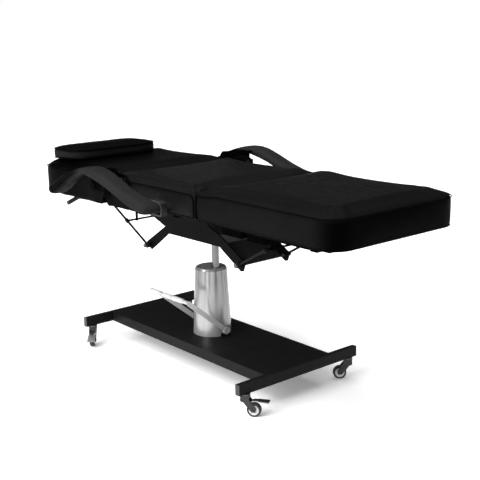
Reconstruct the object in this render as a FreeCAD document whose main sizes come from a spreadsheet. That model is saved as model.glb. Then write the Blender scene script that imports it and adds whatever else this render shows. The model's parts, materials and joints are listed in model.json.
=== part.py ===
import FreeCAD, Part
import os
import math
import Sketcher

# Tattoo chair: a flat three-section bed on a hydraulic lift with a castor base.
# Frame: millimetres, origin on the floor on the lift tube's axis,
# +X towards the foot end, +Y across, +Z up.

doc = FreeCAD.newDocument("TattooChair")

VALUES = {
    # overall bed
    "bedHalf": 907.5, "cushHalfWidth": 290, "cushTop": 755, "cushBase": 652,
    "boardBase": 642, "seatEnd": 258, "sectionStart": 262, "boardInset": 24,
    "headCorner": 220, "footCorner": 75, "sideRound": 18, "seamRound": 20,
    # castor base
    "baseShift": -30, "crossHalf": 478, "barWide": 20, "barHigh": 38, "barLength": 561,
    "barBase": 81.5, "wall": 2, "plateHalf": 156, "plateThick": 3, "railWide": 20,
    "capThick": 2.5, "capPlug": 12,
    # pump
    "coverFoot": 74.5, "coverHead": 61.5, "coverTop": 383, "coverSheet": 1.6,
    "tubeRadius": 14, "boreRadius": 14.06, "barrelRadius": 21, "flangeRadius": 62,
    "pumpFloor": 119.5, "tubeBottom": 262, "tubeLength": 305.7,
    # foot pedal
    "shaftRadius": 8, "shaftBore": 8.06, "pedalAxisY": 4, "pedalAxisZ": 141, "armNear": 51,
    "armFar": -111, "armThick": 6, "pedalBarY": -172, "pedalBarZ": 285,
    # seat frame
    "hubBase": 505, "hubRadius": 24, "plateY": 105, "sheet": 5, "frameTop": 612,
    "crossTube": 30, "railY": 150, "railTube": 26,
    # back pivot, leg pivot, strut pivots and strut collars
    "backPivotX": -214, "backPivotZ": 740, "legPivotX": 268, "legPivotZ": 640,
    "backStrutX": -285, "backStrutZ": 440, "backCollarX": -426, "backCollarZ": 516,
    "legStrutX": 275, "legStrutZ": 465, "legCollarX": 413, "legCollarZ": 542,
    "strutY": 114.5, "strutRadius": 4.5, "collarBore": 5.4, "backRodLength": 408,
    "legRodLength": 172,
    # side plates and armrests
    "seatSideY": 294, "backSideY": 300.5, "linkY": 307, "armSideY": 313.5, "sideSheet": 5,
    "pinRadius": 6, "pinBore": 6.05, "armPivotX": -330, "armPivotZ": 700, "linkStep": 70,
    "padInner": 342, "padOuter": 430,
    # castors
    "castorX": 458, "castorY": 248, "wheelRadius": 25, "wheelWide": 19, "castorTrail": 30,
    "stemRadius": 6, "stemBore": 6.06, "axleRadius": 3,
    # pillow
    "pillowX": -687, "pillowY": -42, "pillowLong": 422, "pillowDeep": 240, "pillowHigh": 50,
    # skirt of the back cushion, below its board
    "skirtBase": 618, "skirtInner": 266.5,
}

sheet = doc.addObject("Spreadsheet::Sheet", "Sizes")
for row, (alias, number) in enumerate(VALUES.items(), start=1):
    sheet.set("A%d" % row, str(number))
    sheet.setAlias("A%d" % row, alias)
doc.recompute()


class Dim:
    """A number together with the expression that gives it."""

    def __init__(self, value, text):
        self.value = float(value)
        self.text = text

    @staticmethod
    def of(item):
        return item if isinstance(item, Dim) else Dim(item, repr(float(item)))

    def _mix(self, other, sign, value):
        return Dim(value, "(%s %s %s)" % (self.text, sign, other.text))

    def __add__(self, other):
        other = Dim.of(other)
        return self._mix(other, "+", self.value + other.value)

    def __radd__(self, other):
        return Dim.of(other) + self

    def __sub__(self, other):
        other = Dim.of(other)
        return self._mix(other, "-", self.value - other.value)

    def __rsub__(self, other):
        return Dim.of(other) - self

    def __mul__(self, other):
        other = Dim.of(other)
        return self._mix(other, "*", self.value * other.value)

    def __rmul__(self, other):
        return Dim.of(other) * self

    def __truediv__(self, other):
        other = Dim.of(other)
        return self._mix(other, "/", self.value / other.value)

    def __neg__(self):
        return Dim(-self.value, "(0 - %s)" % self.text)


class Sizes:
    pass


s = Sizes()
for alias, number in VALUES.items():
    setattr(s, alias, Dim(number, "Sizes." + alias))

counter = {}


def fresh(stem):
    counter[stem] = counter.get(stem, 0) + 1
    return "%s_%d" % (stem, counter[stem])


def bind(obj, prop, item):
    if isinstance(item, Dim):
        obj.setExpression(prop, item.text)
    else:
        obj.setExpression(prop, repr(float(item)))


def place(obj, x=0, y=0, z=0, rotation=None):
    """Rotation first, then the position from the sheet."""
    if rotation is not None:
        obj.Placement = FreeCAD.Placement(FreeCAD.Vector(0, 0, 0), rotation)
    for letter, item in (("x", x), ("y", y), ("z", z)):
        bind(obj, "Placement.Base." + letter, item)
    return obj


def box(x0, x1, y0, y1, z0, z1):
    b = doc.addObject("Part::Box", fresh("Box"))
    bind(b, "Length", Dim.of(x1) - x0)
    bind(b, "Width", Dim.of(y1) - y0)
    bind(b, "Height", Dim.of(z1) - z0)
    return place(b, x0, y0, z0)


AXES = {"X": FreeCAD.Rotation(FreeCAD.Vector(0, 1, 0), 90),
        "Y": FreeCAD.Rotation(FreeCAD.Vector(1, 0, 0), -90),
        "Z": FreeCAD.Rotation(FreeCAD.Vector(0, 0, 1), 0)}


def rod(axis, start, radius, length):
    """A round bar from the point start, along +axis."""
    c = doc.addObject("Part::Cylinder", fresh("Rod"))
    bind(c, "Radius", radius)
    bind(c, "Height", length)
    turn = AXES[axis] if isinstance(axis, str) else axis
    return place(c, start[0], start[1], start[2], turn)


def cut(base, *tools):
    for tool in tools:
        c = doc.addObject("Part::Cut", fresh("Cut"))
        c.Base = base
        c.Tool = tool
        base = c
    return base


def fuse(*items):
    f = doc.addObject("Part::MultiFuse", fresh("Joined"))
    f.Shapes = list(items)
    return f


def group(*items):
    g = doc.addObject("Part::Compound", fresh("Set"))
    g.Links = list(items)
    return g


def mirror(item, normal=(0, 1, 0), base=(0, 0, 0)):
    m = doc.addObject("Part::Mirroring", fresh("Mirrored"))
    m.Source = item
    m.Normal = FreeCAD.Vector(*normal)
    if isinstance(base[0], Dim):
        m.setExpression("Base.x", base[0].text)
    else:
        m.Base = FreeCAD.Vector(*base)
    return m


def origin_plane(body, role):
    for feature in body.Origin.OriginFeatures:
        if feature.Role == role:
            return feature
    raise RuntimeError("no plane " + role)


def sketch(body, role, loops, offset=0):
    """A fully dimensioned sketch: each corner is placed from the sheet."""
    sk = body.newObject("Sketcher::SketchObject", fresh("Sketch"))
    sk.AttachmentSupport = [(origin_plane(body, role), "")]
    sk.MapMode = "FlatFace"
    bind(sk, "AttachmentOffset.Base.z", offset)
    for loop in loops:
        if loop[0] == "circle":
            _, cx, cy, radius = loop
            cx, cy, radius = Dim.of(cx), Dim.of(cy), Dim.of(radius)
            g = sk.addGeometry(Part.Circle(FreeCAD.Vector(cx.value, cy.value, 0),
                                           FreeCAD.Vector(0, 0, 1), radius.value), False)
            for kind, item in (("DistanceX", cx), ("DistanceY", cy)):
                n = sk.addConstraint(Sketcher.Constraint(kind, -1, 1, g, 3, item.value))
                sk.setExpression("Constraints[%d]" % n, item.text)
            n = sk.addConstraint(Sketcher.Constraint("Radius", g, radius.value))
            sk.setExpression("Constraints[%d]" % n, radius.text)
            continue
        corners = [(Dim.of(a), Dim.of(b)) for a, b in loop]
        ids = []
        for i, (a, b) in enumerate(corners):
            c, d = corners[(i + 1) % len(corners)]
            ids.append(sk.addGeometry(Part.LineSegment(
                FreeCAD.Vector(a.value, b.value, 0), FreeCAD.Vector(c.value, d.value, 0)), False))
        for i, g in enumerate(ids):
            sk.addConstraint(Sketcher.Constraint("Coincident", g, 2, ids[(i + 1) % len(ids)], 1))
        for (a, b), g in zip(corners, ids):
            for kind, item in (("DistanceX", a), ("DistanceY", b)):
                n = sk.addConstraint(Sketcher.Constraint(kind, -1, 1, g, 1, item.value))
                sk.setExpression("Constraints[%d]" % n, item.text)
    return sk


def padded(role, loops, length, offset=0):
    """A body with one sketch padded along its plane's normal
    (XZ_Plane's normal is -Y, YZ_Plane's is +X, XY_Plane's is +Z)."""
    body = doc.addObject("PartDesign::Body", fresh("Body"))
    sk = sketch(body, role, loops, offset)
    pad = body.newObject("PartDesign::Pad", fresh("Pad"))
    pad.Profile = sk
    bind(pad, "Length", length)
    return body


def side_plate(loops, y, thickness):
    """A plate in the XZ plane whose faces are at y and y - thickness."""
    return padded("XZ_Plane", loops, thickness, -Dim.of(y))


def pocket(body, role, loops, length, offset=0, flip=False):
    before = body.Shape.Volume
    sk = sketch(body, role, loops, offset)
    cutter = body.newObject("PartDesign::Pocket", fresh("Pocket"))
    cutter.Profile = sk
    cutter.Reversed = flip
    bind(cutter, "Length", length)
    doc.recompute()
    if not body.Shape.Volume < before - 1e-6:
        raise RuntimeError("a pocket cut nothing in " + body.Name)
    return body


def rounded(body, radius, choose, chamfer=False):
    """Round the edges of the body's last feature that choose(edge) accepts."""
    doc.recompute()
    tip = body.Tip
    names = ["Edge%d" % (i + 1) for i, e in enumerate(tip.Shape.Edges) if choose(e)]
    if not names:
        raise RuntimeError("no edges to round in " + body.Name)
    kind = "PartDesign::Chamfer" if chamfer else "PartDesign::Fillet"
    f = body.newObject(kind, fresh("Round"))
    f.Base = (tip, names)
    bind(f, "Size" if chamfer else "Radius", radius)
    doc.recompute()
    return body


def revolved(role, loops, offset=0):
    """A body turned about the sketch's vertical axis."""
    body = doc.addObject("PartDesign::Body", fresh("Body"))
    sk = sketch(body, role, loops, offset)
    rev = body.newObject("PartDesign::Revolution", fresh("Turned"))
    rev.Profile = sk
    rev.ReferenceAxis = (sk, ["V_Axis"])
    rev.Angle = 360
    return body


NODES = {}


def node(name, item):
    item.Label = name
    NODES[name] = item
    return item


def along(e):
    a, b = e.Vertexes[0].Point, e.Vertexes[-1].Point
    d = b - a
    return d


# ---------------------------------------------------------------- castor base
barTop = s.barBase + s.barHigh
barX0 = s.crossHalf
barX1 = s.crossHalf + s.barWide
halfBar = s.barLength / 2


def hollow_bar(x0):
    outer = box(x0, x0 + s.barWide, -halfBar, halfBar, s.barBase, barTop)
    inner = box(x0 + s.wall, x0 + s.barWide - s.wall, -halfBar - 5, halfBar + 5,
                s.barBase + s.wall, barTop - s.wall)
    return cut(outer, inner)


node("base_crossbars", group(hollow_bar(s.baseShift + s.crossHalf),
                             hollow_bar(s.baseShift - s.crossHalf - s.barWide)))


def end_cap(x0, sign):
    if sign > 0:
        face = box(x0, x0 + s.barWide, halfBar, halfBar + s.capThick, s.barBase, barTop)
        plug = box(x0 + s.wall, x0 + s.barWide - s.wall, halfBar - s.capPlug, halfBar,
                   s.barBase + s.wall, barTop - s.wall)
    else:
        face = box(x0, x0 + s.barWide, -halfBar - s.capThick, -halfBar, s.barBase, barTop)
        plug = box(x0 + s.wall, x0 + s.barWide - s.wall, -halfBar, -halfBar + s.capPlug,
                   s.barBase + s.wall, barTop - s.wall)
    return fuse(face, plug)


node("crossbar_end_caps", group(*[end_cap(x0, sign)
                                  for x0 in (s.baseShift + s.crossHalf,
                                             s.baseShift - s.crossHalf - s.barWide)
                                  for sign in (1, -1)]))

plateBase = barTop - s.plateThick
node("base_top_plate", box(s.baseShift - s.crossHalf, s.baseShift + s.crossHalf,
                           -s.plateHalf, s.plateHalf, plateBase, barTop))
node("base_side_rails", group(
    box(s.baseShift - s.crossHalf, s.baseShift + s.crossHalf, -s.plateHalf,
        -s.plateHalf + s.railWide, s.barBase, plateBase),
    box(s.baseShift - s.crossHalf, s.baseShift + s.crossHalf, s.plateHalf - s.railWide,
        s.plateHalf, s.barBase, plateBase)))

# Hydraulic pump: flange, valve block, barrel around the lift tube and reservoir.
blockTop = s.pumpFloor + 62
flange = place(rod("Z", (s.baseShift, 0, s.pumpFloor), s.flangeRadius, 8))
bind(flange, "Placement.Base.x", s.baseShift)
bind(flange, "Placement.Base.z", s.pumpFloor)
block = box(s.baseShift - 44, 24, -30, 30, s.pumpFloor, blockTop)
barrel = rod("Z", (0, 0, s.pumpFloor), s.barrelRadius, 250)
tank = rod("Z", (s.baseShift - 24, 0, s.pumpFloor), 20, 200)
pump = cut(fuse(flange, block, barrel, tank),
           rod("Z", (0, 0, s.tubeBottom - 115), s.boreRadius, 400),
           rod("X", (-200, s.pedalAxisY, s.pedalAxisZ), s.shaftBore, 400))
node("pump_body", pump)


def bolt(x, y):
    head = doc.addObject("Part::Prism", fresh("BoltHead"))
    head.Polygon = 6
    head.Circumradius = 7.5
    head.Height = 6
    return place(head, x, y, s.pumpFloor + 8)


node("pump_bolts", group(*[bolt(s.baseShift + dx, dy) for dx, dy in
                           ((30, 42), (30, -42), (-30, 42), (-30, -42))]))

# Tapered chrome cover round the pump, turned from sheet, open below.
t = s.coverSheet
lip = s.coverTop - 8
cover = revolved("XZ_Plane", [[
    (s.coverFoot, s.pumpFloor), (s.coverHead + 0.6, lip), (s.coverHead - 3, s.coverTop - 2),
    (s.coverHead - 8, s.coverTop), (0, s.coverTop), (0, s.coverTop - t),
    (s.coverHead - 9, s.coverTop - t), (s.coverHead - 3 - t, s.coverTop - 3 - t),
    (s.coverHead + 0.6 - t, lip - 1), (s.coverFoot - t, s.pumpFloor)]])
place(cover, s.baseShift, 0, 0)
cover_cut = cut(cover,
                rod("Z", (0, 0, s.coverTop - 30), s.tubeRadius + 1.2, 60),
                rod("X", (s.baseShift - 120, s.pedalAxisY, s.pedalAxisZ), s.shaftRadius + 4, 240),
                box(s.baseShift + 40, s.baseShift + 100, -16, 34, s.pumpFloor - 10, s.pumpFloor + 12))
node("pump_cover", cover_cut)

# Castor top plates with their swivel pins, under the crossbars' ends.
CASTORS = (("front_near", s.castorX, -s.castorY, 38.0), ("front_far", s.castorX, s.castorY, 230.0),
           ("rear_near", s.baseShift * 2 - s.castorX, -s.castorY, -40.0),
           ("rear_far", s.baseShift * 2 - s.castorX, s.castorY, 150.0))
pins = []
for tag, cx, cy, turn in CASTORS:
    disc = rod("Z", (cx, cy, s.barBase - 4), 17, 4)
    pins.append(fuse(disc, rod("Z", (cx, cy, s.barBase - 24), s.stemRadius, 22)))
node("castor_plates", group(*pins))

# ------------------------------------------------------------------- castors
forkTop = s.barBase - 4.4
for tag, cx, cy, turn in CASTORS:
    spin = FreeCAD.Rotation(FreeCAD.Vector(0, 0, 1), turn)
    # fork, drawn with the wheel trailing along +X, then swivelled
    cheek = [(-15, forkTop), (-15, forkTop - 20), (-5, forkTop - 24),
             (s.castorTrail - 7, s.wheelRadius - 6), (s.castorTrail + 7, s.wheelRadius - 6),
             (s.castorTrail + 9, s.wheelRadius + 8), (15, forkTop - 14), (15, forkTop)]
    body = side_plate([cheek], 14.5, 29)
    doc.recompute()
    pocket(body, "YZ_Plane", [[(-11.5, 0), (-11.5, forkTop - 23.2), (11.5, forkTop - 23.2),
                               (11.5, 0)]], 200, -100, True)
    gap = box(12.6, 60, -11.5, 11.5, 30, 66)
    head = rod("Z", (0, 0, forkTop - 6), 17, 6)
    hole = padded("XY_Plane", [("circle", 0, 0, s.stemBore)], 60, s.barBase - 26)
    axle = rod("Y", (s.castorTrail, -17, s.wheelRadius), s.axleRadius, 34)
    fork = place(group(cut(fuse(cut(body, gap), head), hole), cut(axle, side_plate([[(-60, -60), (-60, 140), (140, 140), (140, -60)]], 14.5, 3),
                                            side_plate([[(-60, -60), (-60, 140), (140, 140), (140, -60)]], -11.5, 3))),
                 cx, cy, 0, spin)
    node("castor_fork_" + tag, fork)
    # wheel: tread and a raised hub ring, turned about the axle
    wide = s.wheelWide / 2
    tread = revolved("XY_Plane", [[
        (17, -wide), (s.wheelRadius - 2.5, -wide), (s.wheelRadius, -wide + 2.5),
        (s.wheelRadius, wide - 2.5), (s.wheelRadius - 2.5, wide), (17, wide)]])
    hub = revolved("XY_Plane", [[
        (s.axleRadius + 0.06, -wide - 0.6), (8, -wide - 0.6), (9, -wide + 1.5), (15, -wide + 1.5),
        (17, -wide), (17, wide), (15, wide - 1.5), (9, wide - 1.5), (8, wide + 0.6),
        (s.axleRadius + 0.06, wide + 0.6)]])
    pair = group(tread, hub)
    place(pair, s.castorTrail, 0, s.wheelRadius)
    node("castor_wheel_" + tag, place(group(pair), cx, cy, 0, spin))
    # brake pedal over the near castors' wheels, hinged between the fork's cheeks;
    # the front one is drawn let up, the rear one pressed down
    if not tag.endswith("near"):
        continue
    lift = math.radians(18 if tag == "front_near" else 0)

    def up(points):
        return [(16 + (x - 16) * math.cos(lift) - (z - 53.4) * math.sin(lift),
                 53.4 + (x - 16) * math.sin(lift) + (z - 53.4) * math.cos(lift)) for x, z in points]

    flap = side_plate([up([(16, 55.8), (32, 54.6), (42, 51.8), (81, 36), (80, 33.4), (42, 48.4), (33, 51),
                           (22, 51.2), (16, 51.1)])], 10.5, 21)
    toe = side_plate([up([(46, 50.18), (81, 36), (80, 33.4), (46, 46.82)])], 14, 28)
    barrel = rod("Y", (16, -10.5, 53.4), 2.4, 21)
    node("castor_brake_" + tag, place(group(fuse(flap, toe, barrel)), cx, cy, 0, spin))

# -------------------------------------------------------------- foot pedal
shaft = rod("X", (s.armFar - 4, s.pedalAxisY, s.pedalAxisZ), s.shaftRadius, s.armNear - s.armFar + 8)
node("pedal_shaft", shaft)


def pedal_arm(x):
    """Flat bar from the shaft up to the foot bar, with a round boss."""
    py, pz, by, bz = s.pedalAxisY, s.pedalAxisZ, s.pedalBarY, s.pedalBarZ
    bar = padded("YZ_Plane", [[(py + 5.8, pz + 7), (py - 5.8, pz - 7), (by - 5.8, bz - 7),
                               (by + 5.8, bz + 7)]], s.armThick, x - s.armThick / 2)
    boss = rod("X", (x - s.armThick / 2 - 2, py, pz), 15, s.armThick + 4)
    hole = rod("X", (x - 40, py, pz), s.shaftRadius + 0.02, 80)
    return cut(fuse(bar, boss), hole)


node("pedal_arms", group(pedal_arm(s.armNear), pedal_arm(s.armFar)))
bar = rod("X", (-186, s.pedalBarY - 5, s.pedalBarZ + 4), 7, s.armNear + 186 + 4)
clear = [padded("YZ_Plane", [[(s.pedalAxisY + 5.8, s.pedalAxisZ + 7), (s.pedalAxisY - 5.8, s.pedalAxisZ - 7),
                              (s.pedalBarY - 5.8, s.pedalBarZ - 7), (s.pedalBarY + 5.8, s.pedalBarZ + 7)]],
                s.armThick, x - s.armThick / 2) for x in (s.armNear, s.armFar)]
node("pedal_crossbar", cut(bar, *clear))
pads = []
for x0, length in ((-178, 62), (-92, 46), (-36, 60)):
    sleeve = rod("X", (x0, s.pedalBarY - 5, s.pedalBarZ + 4), 9.5, length)
    pads.append(cut(sleeve, rod("X", (x0 - 5, s.pedalBarY - 5, s.pedalBarZ + 4), 7.02, length + 10)))
node("pedal_pads", group(*pads))

# ------------------------------------------------------------------ lift tube
node("lift_tube", rod("Z", (0, 0, s.tubeBottom), s.tubeRadius, s.tubeLength))

# ---------------------------------------------------------------- seat frame
seatPlate = [(-274, 563), (-240, 556), (-172, 532), (-150, 507), (160, 509), (163, 552), (104, 572),
             (60, s.frameTop), (-250, s.frameTop)]
near_plate = side_plate([seatPlate], -s.plateY + s.sheet / 2, s.sheet)
node("seat_side_plates", group(near_plate, mirror(near_plate)))

# Strut legs welded to the side plates: 38 mm wide flat arms with a folded look.
back_leg = [(-172, 531.5), (-150, 506.5), (-268, 424), (-300, 438), (-300, 451)]
leg_leg = [(160.5, 509.5), (163.5, 551.5), (303, 474), (290, 444), (279, 441)]
legs = []
for outline in (back_leg, leg_leg):
    plate = side_plate([outline], -s.plateY + s.sheet / 2, s.sheet)
    legs += [plate, mirror(plate)]
holes = []
for hx, hz in ((s.backStrutX, s.backStrutZ), (s.legStrutX, s.legStrutZ)):
    holes.append(rod("Y", (hx, -200, hz), s.pinBore, 400))
legs[0] = cut(legs[0], holes[0])
legs[1] = cut(legs[1], holes[0])
legs[2] = cut(legs[2], holes[1])
legs[3] = cut(legs[3], holes[1])
node("seat_strut_legs", group(*legs))

# Bent sheet between the leg-side strut legs and up the side plates' front edges.
inner = s.plateY - s.sheet / 2
trough = padded("XZ_Plane", [[(262, 456), (155, 515), (160, 552), (102.5, 571.8), (64, 606), (61, 603),
                              (100, 568), (155.5, 549.3), (150.5, 512), (258, 452)]], inner * 2, -inner)
node("seat_front_sheet", trough)

# Hub: socket for the lift tube's top, with a plate welded between the side plates.
hub = fuse(rod("Z", (0, 0, s.hubBase), s.hubRadius, 75),
           box(-70, 70, -inner, inner, s.hubBase + 63, s.hubBase + 75))
node("seat_hub", cut(hub, rod("Z", (0, 0, s.hubBase - 5), s.boreRadius, 68)))

half = s.crossTube / 2


def cross_tube(x, reach, z0, size):
    outer = box(x - size / 2, x + size / 2, -reach, reach, z0, z0 + size)
    inside = box(x - size / 2 + 2, x + size / 2 - 2, -reach - 5, reach + 5, z0 + 2, z0 + size - 2)
    return cut(outer, inside)


node("seat_cross_tubes", group(cross_tube(Dim.of(-178), 250, s.frameTop, s.crossTube),
                               cross_tube(Dim.of(30), 200, s.frameTop, s.crossTube)))
# Beams from the rear cross tube to the leg pivot.
beams = [box(-163, 15, s.railY - 13, s.railY + 13, s.frameTop, s.frameTop + 28),
         box(45, 245, s.railY - 13, s.railY + 13, s.frameTop, s.frameTop + 28)]
node("seat_beams", group(*(beams + [mirror(b) for b in beams])))

boardTop = s.cushBase
node("seat_board", box(-s.seatEnd + 6, s.seatEnd - 6, -s.cushHalfWidth + s.boardInset,
                       s.cushHalfWidth - s.boardInset, s.boardBase, boardTop - 0.02))


def cushion(x0, x1, corner0, corner1):
    """A block with rounded plan corners and a rounded top edge."""
    w = s.cushHalfWidth
    body = padded("XY_Plane", [[(x0, -w), (x1, -w), (x1, w), (x0, w)]],
                  s.cushTop - s.cushBase, s.cushBase)
    doc.recompute()
    for x, corner in ((x0, corner0), (x1, corner1)):
        target = Dim.of(x).value
        rounded(body, corner, lambda e: abs(along(e).z) > 50 and
                abs(e.CenterOfMass.x - target) < 1.0 and abs(abs(e.CenterOfMass.y) - w.value) < 1.0)
    top = s.cushTop.value
    rounded(body, s.sideRound, lambda e: abs(e.CenterOfMass.z - top) < 0.5)
    return body


node("seat_cushion", cushion(-s.seatEnd, s.seatEnd, s.seamRound, s.seamRound))

# Side plates outside the seat cushion: they carry the back pivots and the armrest links.
bx, bz = s.backPivotX, s.backPivotZ
linkX = s.backPivotX + s.linkStep
seat_side = side_plate([[(-230, 630), (-124, 630), (-122, 640), (-124, 748), (-134, 758),
                         (-152, 760), (-206, 760), (-226, 756), (-234, 742)],
                        ("circle", bx, bz, s.pinBore), ("circle", linkX, bz, s.pinBore)],
                       -s.seatSideY, s.sideSheet)
# each has a flange bent in under the board, welded to the end of the cross tube
seat_flange = box(-193, -163, -s.seatSideY - 2, Dim.of(-250.02), s.frameTop + 18, s.boardBase - 0.02)
seat_side = fuse(seat_side, seat_flange)
node("seat_side_brackets", group(seat_side, mirror(seat_side)))

# Leg hinge: knuckles on the seat, each with its pin, and lugs on the leg section.
lx, lz = s.legPivotX, s.legPivotZ
knuckles = []
for y in (-163.1, 169.1):
    k = side_plate([[(238, 613), (250, 613), (259, 629), (277, 629), (279, 640), (275, 646),
                     (263, 649), (257, 641.8), (238, 638)],
                    ("circle", lx, lz, 4.02)], y, 6)
    knuckles.append(k)
leg_pins = [rod("Y", (lx, y, lz), 4, 19.8) for y in (-182.9, 163.1)]
node("leg_hinge_knuckles", group(*[fuse(k, p) for k, p in zip(knuckles, leg_pins)]))

# Pivot bolts of the strut rods, through the strut legs.
nubs = []
for hx, hz in ((s.backStrutX, s.backStrutZ), (s.legStrutX, s.legStrutZ)):
    for sign in (-1, 1):
        if sign < 0:
            pin = rod("Y", (hx, -s.strutY - 12, hz), s.pinRadius, 32)
            head = rod("Y", (hx, -s.strutY - 16, hz), 8, 4)
        else:
            pin = rod("Y", (hx, s.strutY - 20, hz), s.pinRadius, 32)
            head = rod("Y", (hx, s.strutY + 12, hz), 8, 4)
        nubs.append(fuse(pin, head))

# Hooked rest brackets under the armrests' front ends.
hook = side_plate([[(52, 642.2), (110, 642.2), (116, 652), (117, 676), (110, 689), (98, 696), (52, 697),
                    (52, 692), (96, 691), (106, 685), (112, 674), (111, 655), (107, 648), (52, 648)]],
                  Dim.of(-s.cushHalfWidth - 8), 24)
hook_tab = box(52, 84, -s.cushHalfWidth - 8, -s.cushHalfWidth + s.boardInset, 642.2, 648)
near_hook = fuse(hook, hook_tab)
node("armrest_hooks", group(near_hook, mirror(near_hook)))

# ---------------------------------------------------------------- back section
node("back_cross_tubes", group(cross_tube(Dim.of(-320), 250, s.frameTop, s.crossTube),
                               cross_tube(s.backCollarX, 200, s.frameTop, s.crossTube),
                               cross_tube(Dim.of(-770), 200, s.frameTop, s.crossTube)))
rails = []
spans = ((-411, -335), (-755, -441), (-835, -785))
for x0, x1 in spans:
    rails.append(box(x0, x1, s.railY - 13, s.railY + 13, s.frameTop + 2, s.frameTop + 28))
# the last one, welded under the near rail, holds the release lever
lever_bracket = fuse(box(-612, -590, -173, -138, 606, 613.9), box(-612, -608, -173, -157, 591, 607),
                     box(-594, -590, -173, -157, 591, 607), rod("X", (-612.5, -165, 598), 2.5, 23))
node("back_rails", group(*(rails + [mirror(r) for r in rails] + [lever_bracket])))


def rounded_slab(x0, x1, half_wide, corner, z0, high):
    """A slab whose two corners at x0 are rounded in plan."""
    body = padded("XY_Plane", [[(x0, -half_wide), (x1, -half_wide), (x1, half_wide), (x0, half_wide)]],
                  high, z0)
    doc.recompute()
    target = Dim.of(x0).value
    rounded(body, corner, lambda e: abs(along(e).z) > 5 and abs(e.CenterOfMass.x - target) < 1.0)
    return body


boardHalf = s.cushHalfWidth - s.boardInset
node("back_board", rounded_slab(-s.bedHalf + 40, -s.sectionStart - 10, boardHalf, s.headCorner - 40,
                                s.boardBase + 0.02, s.cushBase - s.boardBase - 0.04))
# The back cushion's sides hang down past the board, with a slot for each side bracket's flange.
skirtHigh = s.cushBase - s.skirtBase
skirt = rounded_slab(-s.bedHalf, -s.sectionStart, s.cushHalfWidth, s.headCorner, s.skirtBase, skirtHigh)
pocket = rounded_slab(-s.bedHalf + 39, -s.sectionStart + 10, s.skirtInner, s.headCorner - 39.5,
                      s.skirtBase - 5, skirtHigh + 5)
slots = box(-338, -302, -s.cushHalfWidth - 5, s.cushHalfWidth + 5, s.skirtBase - 2, s.boardBase + 1)
node("back_cushion", fuse(cushion(-s.bedHalf, -s.sectionStart, s.headCorner, s.seamRound),
                          cut(skirt, pocket, slots)))

back_side = side_plate([[(-342, 630), (-300, 630), (-292, 650), (-262, 700), (-200, 724), (-196, 742),
                         (-202, 754), (-216, 758), (-300, 726), (-342, 718), (-350, 700)],
                        ("circle", bx, bz, s.pinBore),
                        ("circle", s.armPivotX, s.armPivotZ, s.pinBore)],
                       -s.backSideY, s.sideSheet)
back_flange = box(-335, -305, -s.backSideY - 2, Dim.of(-250.02), s.frameTop + 18, s.boardBase - 0.02)
back_side = fuse(back_side, back_flange)
node("back_side_brackets", group(back_side, mirror(back_side)))


def side_pins(x, z, y_in, y_out):
    length = y_out - y_in
    near = rod("Y", (x, -y_out, z), s.pinRadius, length)
    far = rod("Y", (x, y_in, z), s.pinRadius, length)
    head_near = rod("Y", (x, -y_out - 3, z), 9, 3)
    head_far = rod("Y", (x, y_out, z), 9, 3)
    return [fuse(near, head_near), fuse(far, head_far)]


def flush_pins(x, z, y_out):
    """Pins headed on the inner side, so nothing stands out where a link passes."""
    length = y_out - s.seatSideY + 0.2
    near = fuse(rod("Y", (x, -y_out, z), s.pinRadius, length),
                rod("Y", (x, -s.seatSideY + 0.2, z), 9, 2.5))
    return [near, mirror(near)]


node("back_pivot_pins", group(*flush_pins(bx, bz, s.backSideY + s.sideSheet + 0.6)))


def hanger(x, z, top, y, wide_top, wide_low):
    return side_plate([[(x - wide_top, top), (x - wide_low, z - 6), (x + wide_low, z - 6),
                        (x + wide_top, top)]], y + 2.5, 5)


tieHalf = s.strutY - 8.8
tie = rod("Y", (s.backCollarX, -tieHalf, s.backCollarZ), 4, tieHalf * 2)
back_hangers = [hanger(s.backCollarX, s.backCollarZ, s.frameTop, y, 7, 5) for y in (Dim.of(-68), Dim.of(68))]
node("back_tie_rod", fuse(tie, *back_hangers))

# ----------------------------------------------------------------- leg section
node("leg_cross_tubes", group(cross_tube(s.legCollarX, 205, s.frameTop, s.crossTube),
                              cross_tube(Dim.of(740), 205, s.frameTop, s.crossTube)))
legRail = s.railY + 39.2
leg_rails = [box(428, 515, legRail - 13, legRail + 13, s.frameTop - 18, s.frameTop + 28),
             box(515, 725, legRail - 13, legRail + 13, s.frameTop + 2, s.frameTop + 28),
             box(300, 398, legRail - 13, legRail + 13, s.frameTop - 18, s.frameTop + 28)]
node("leg_rails", group(*(leg_rails + [mirror(r) for r in leg_rails])))
node("leg_board", box(s.sectionStart + 22, s.bedHalf - 40, -s.cushHalfWidth + s.boardInset,
                      s.cushHalfWidth - s.boardInset, s.boardBase + 0.02, boardTop - 0.02))
node("leg_cushion", cushion(s.sectionStart, s.bedHalf, s.seamRound, s.footCorner))
lugs = []
for y in (-170.1, 176.1):
    lugs.append(side_plate([[(300, 614), (316, 614), (316, 640), (300, 641.5), (283, 641.5), (280, 649),
                             (264, 649), (258, 640), (260, 631), (272, 628), (284, 630)],
                            ("circle", lx, lz, 4.05)], y, 6))
node("leg_hinge_lugs", group(*lugs))
leg_tie = rod("Y", (s.legCollarX, -tieHalf, s.legCollarZ), 4, tieHalf * 2)
leg_hangers = [hanger(s.legCollarX, s.legCollarZ, s.frameTop, y, 24, 7) for y in (Dim.of(-75), Dim.of(75))]
node("leg_tie_rod", fuse(leg_tie, *leg_hangers))


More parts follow.
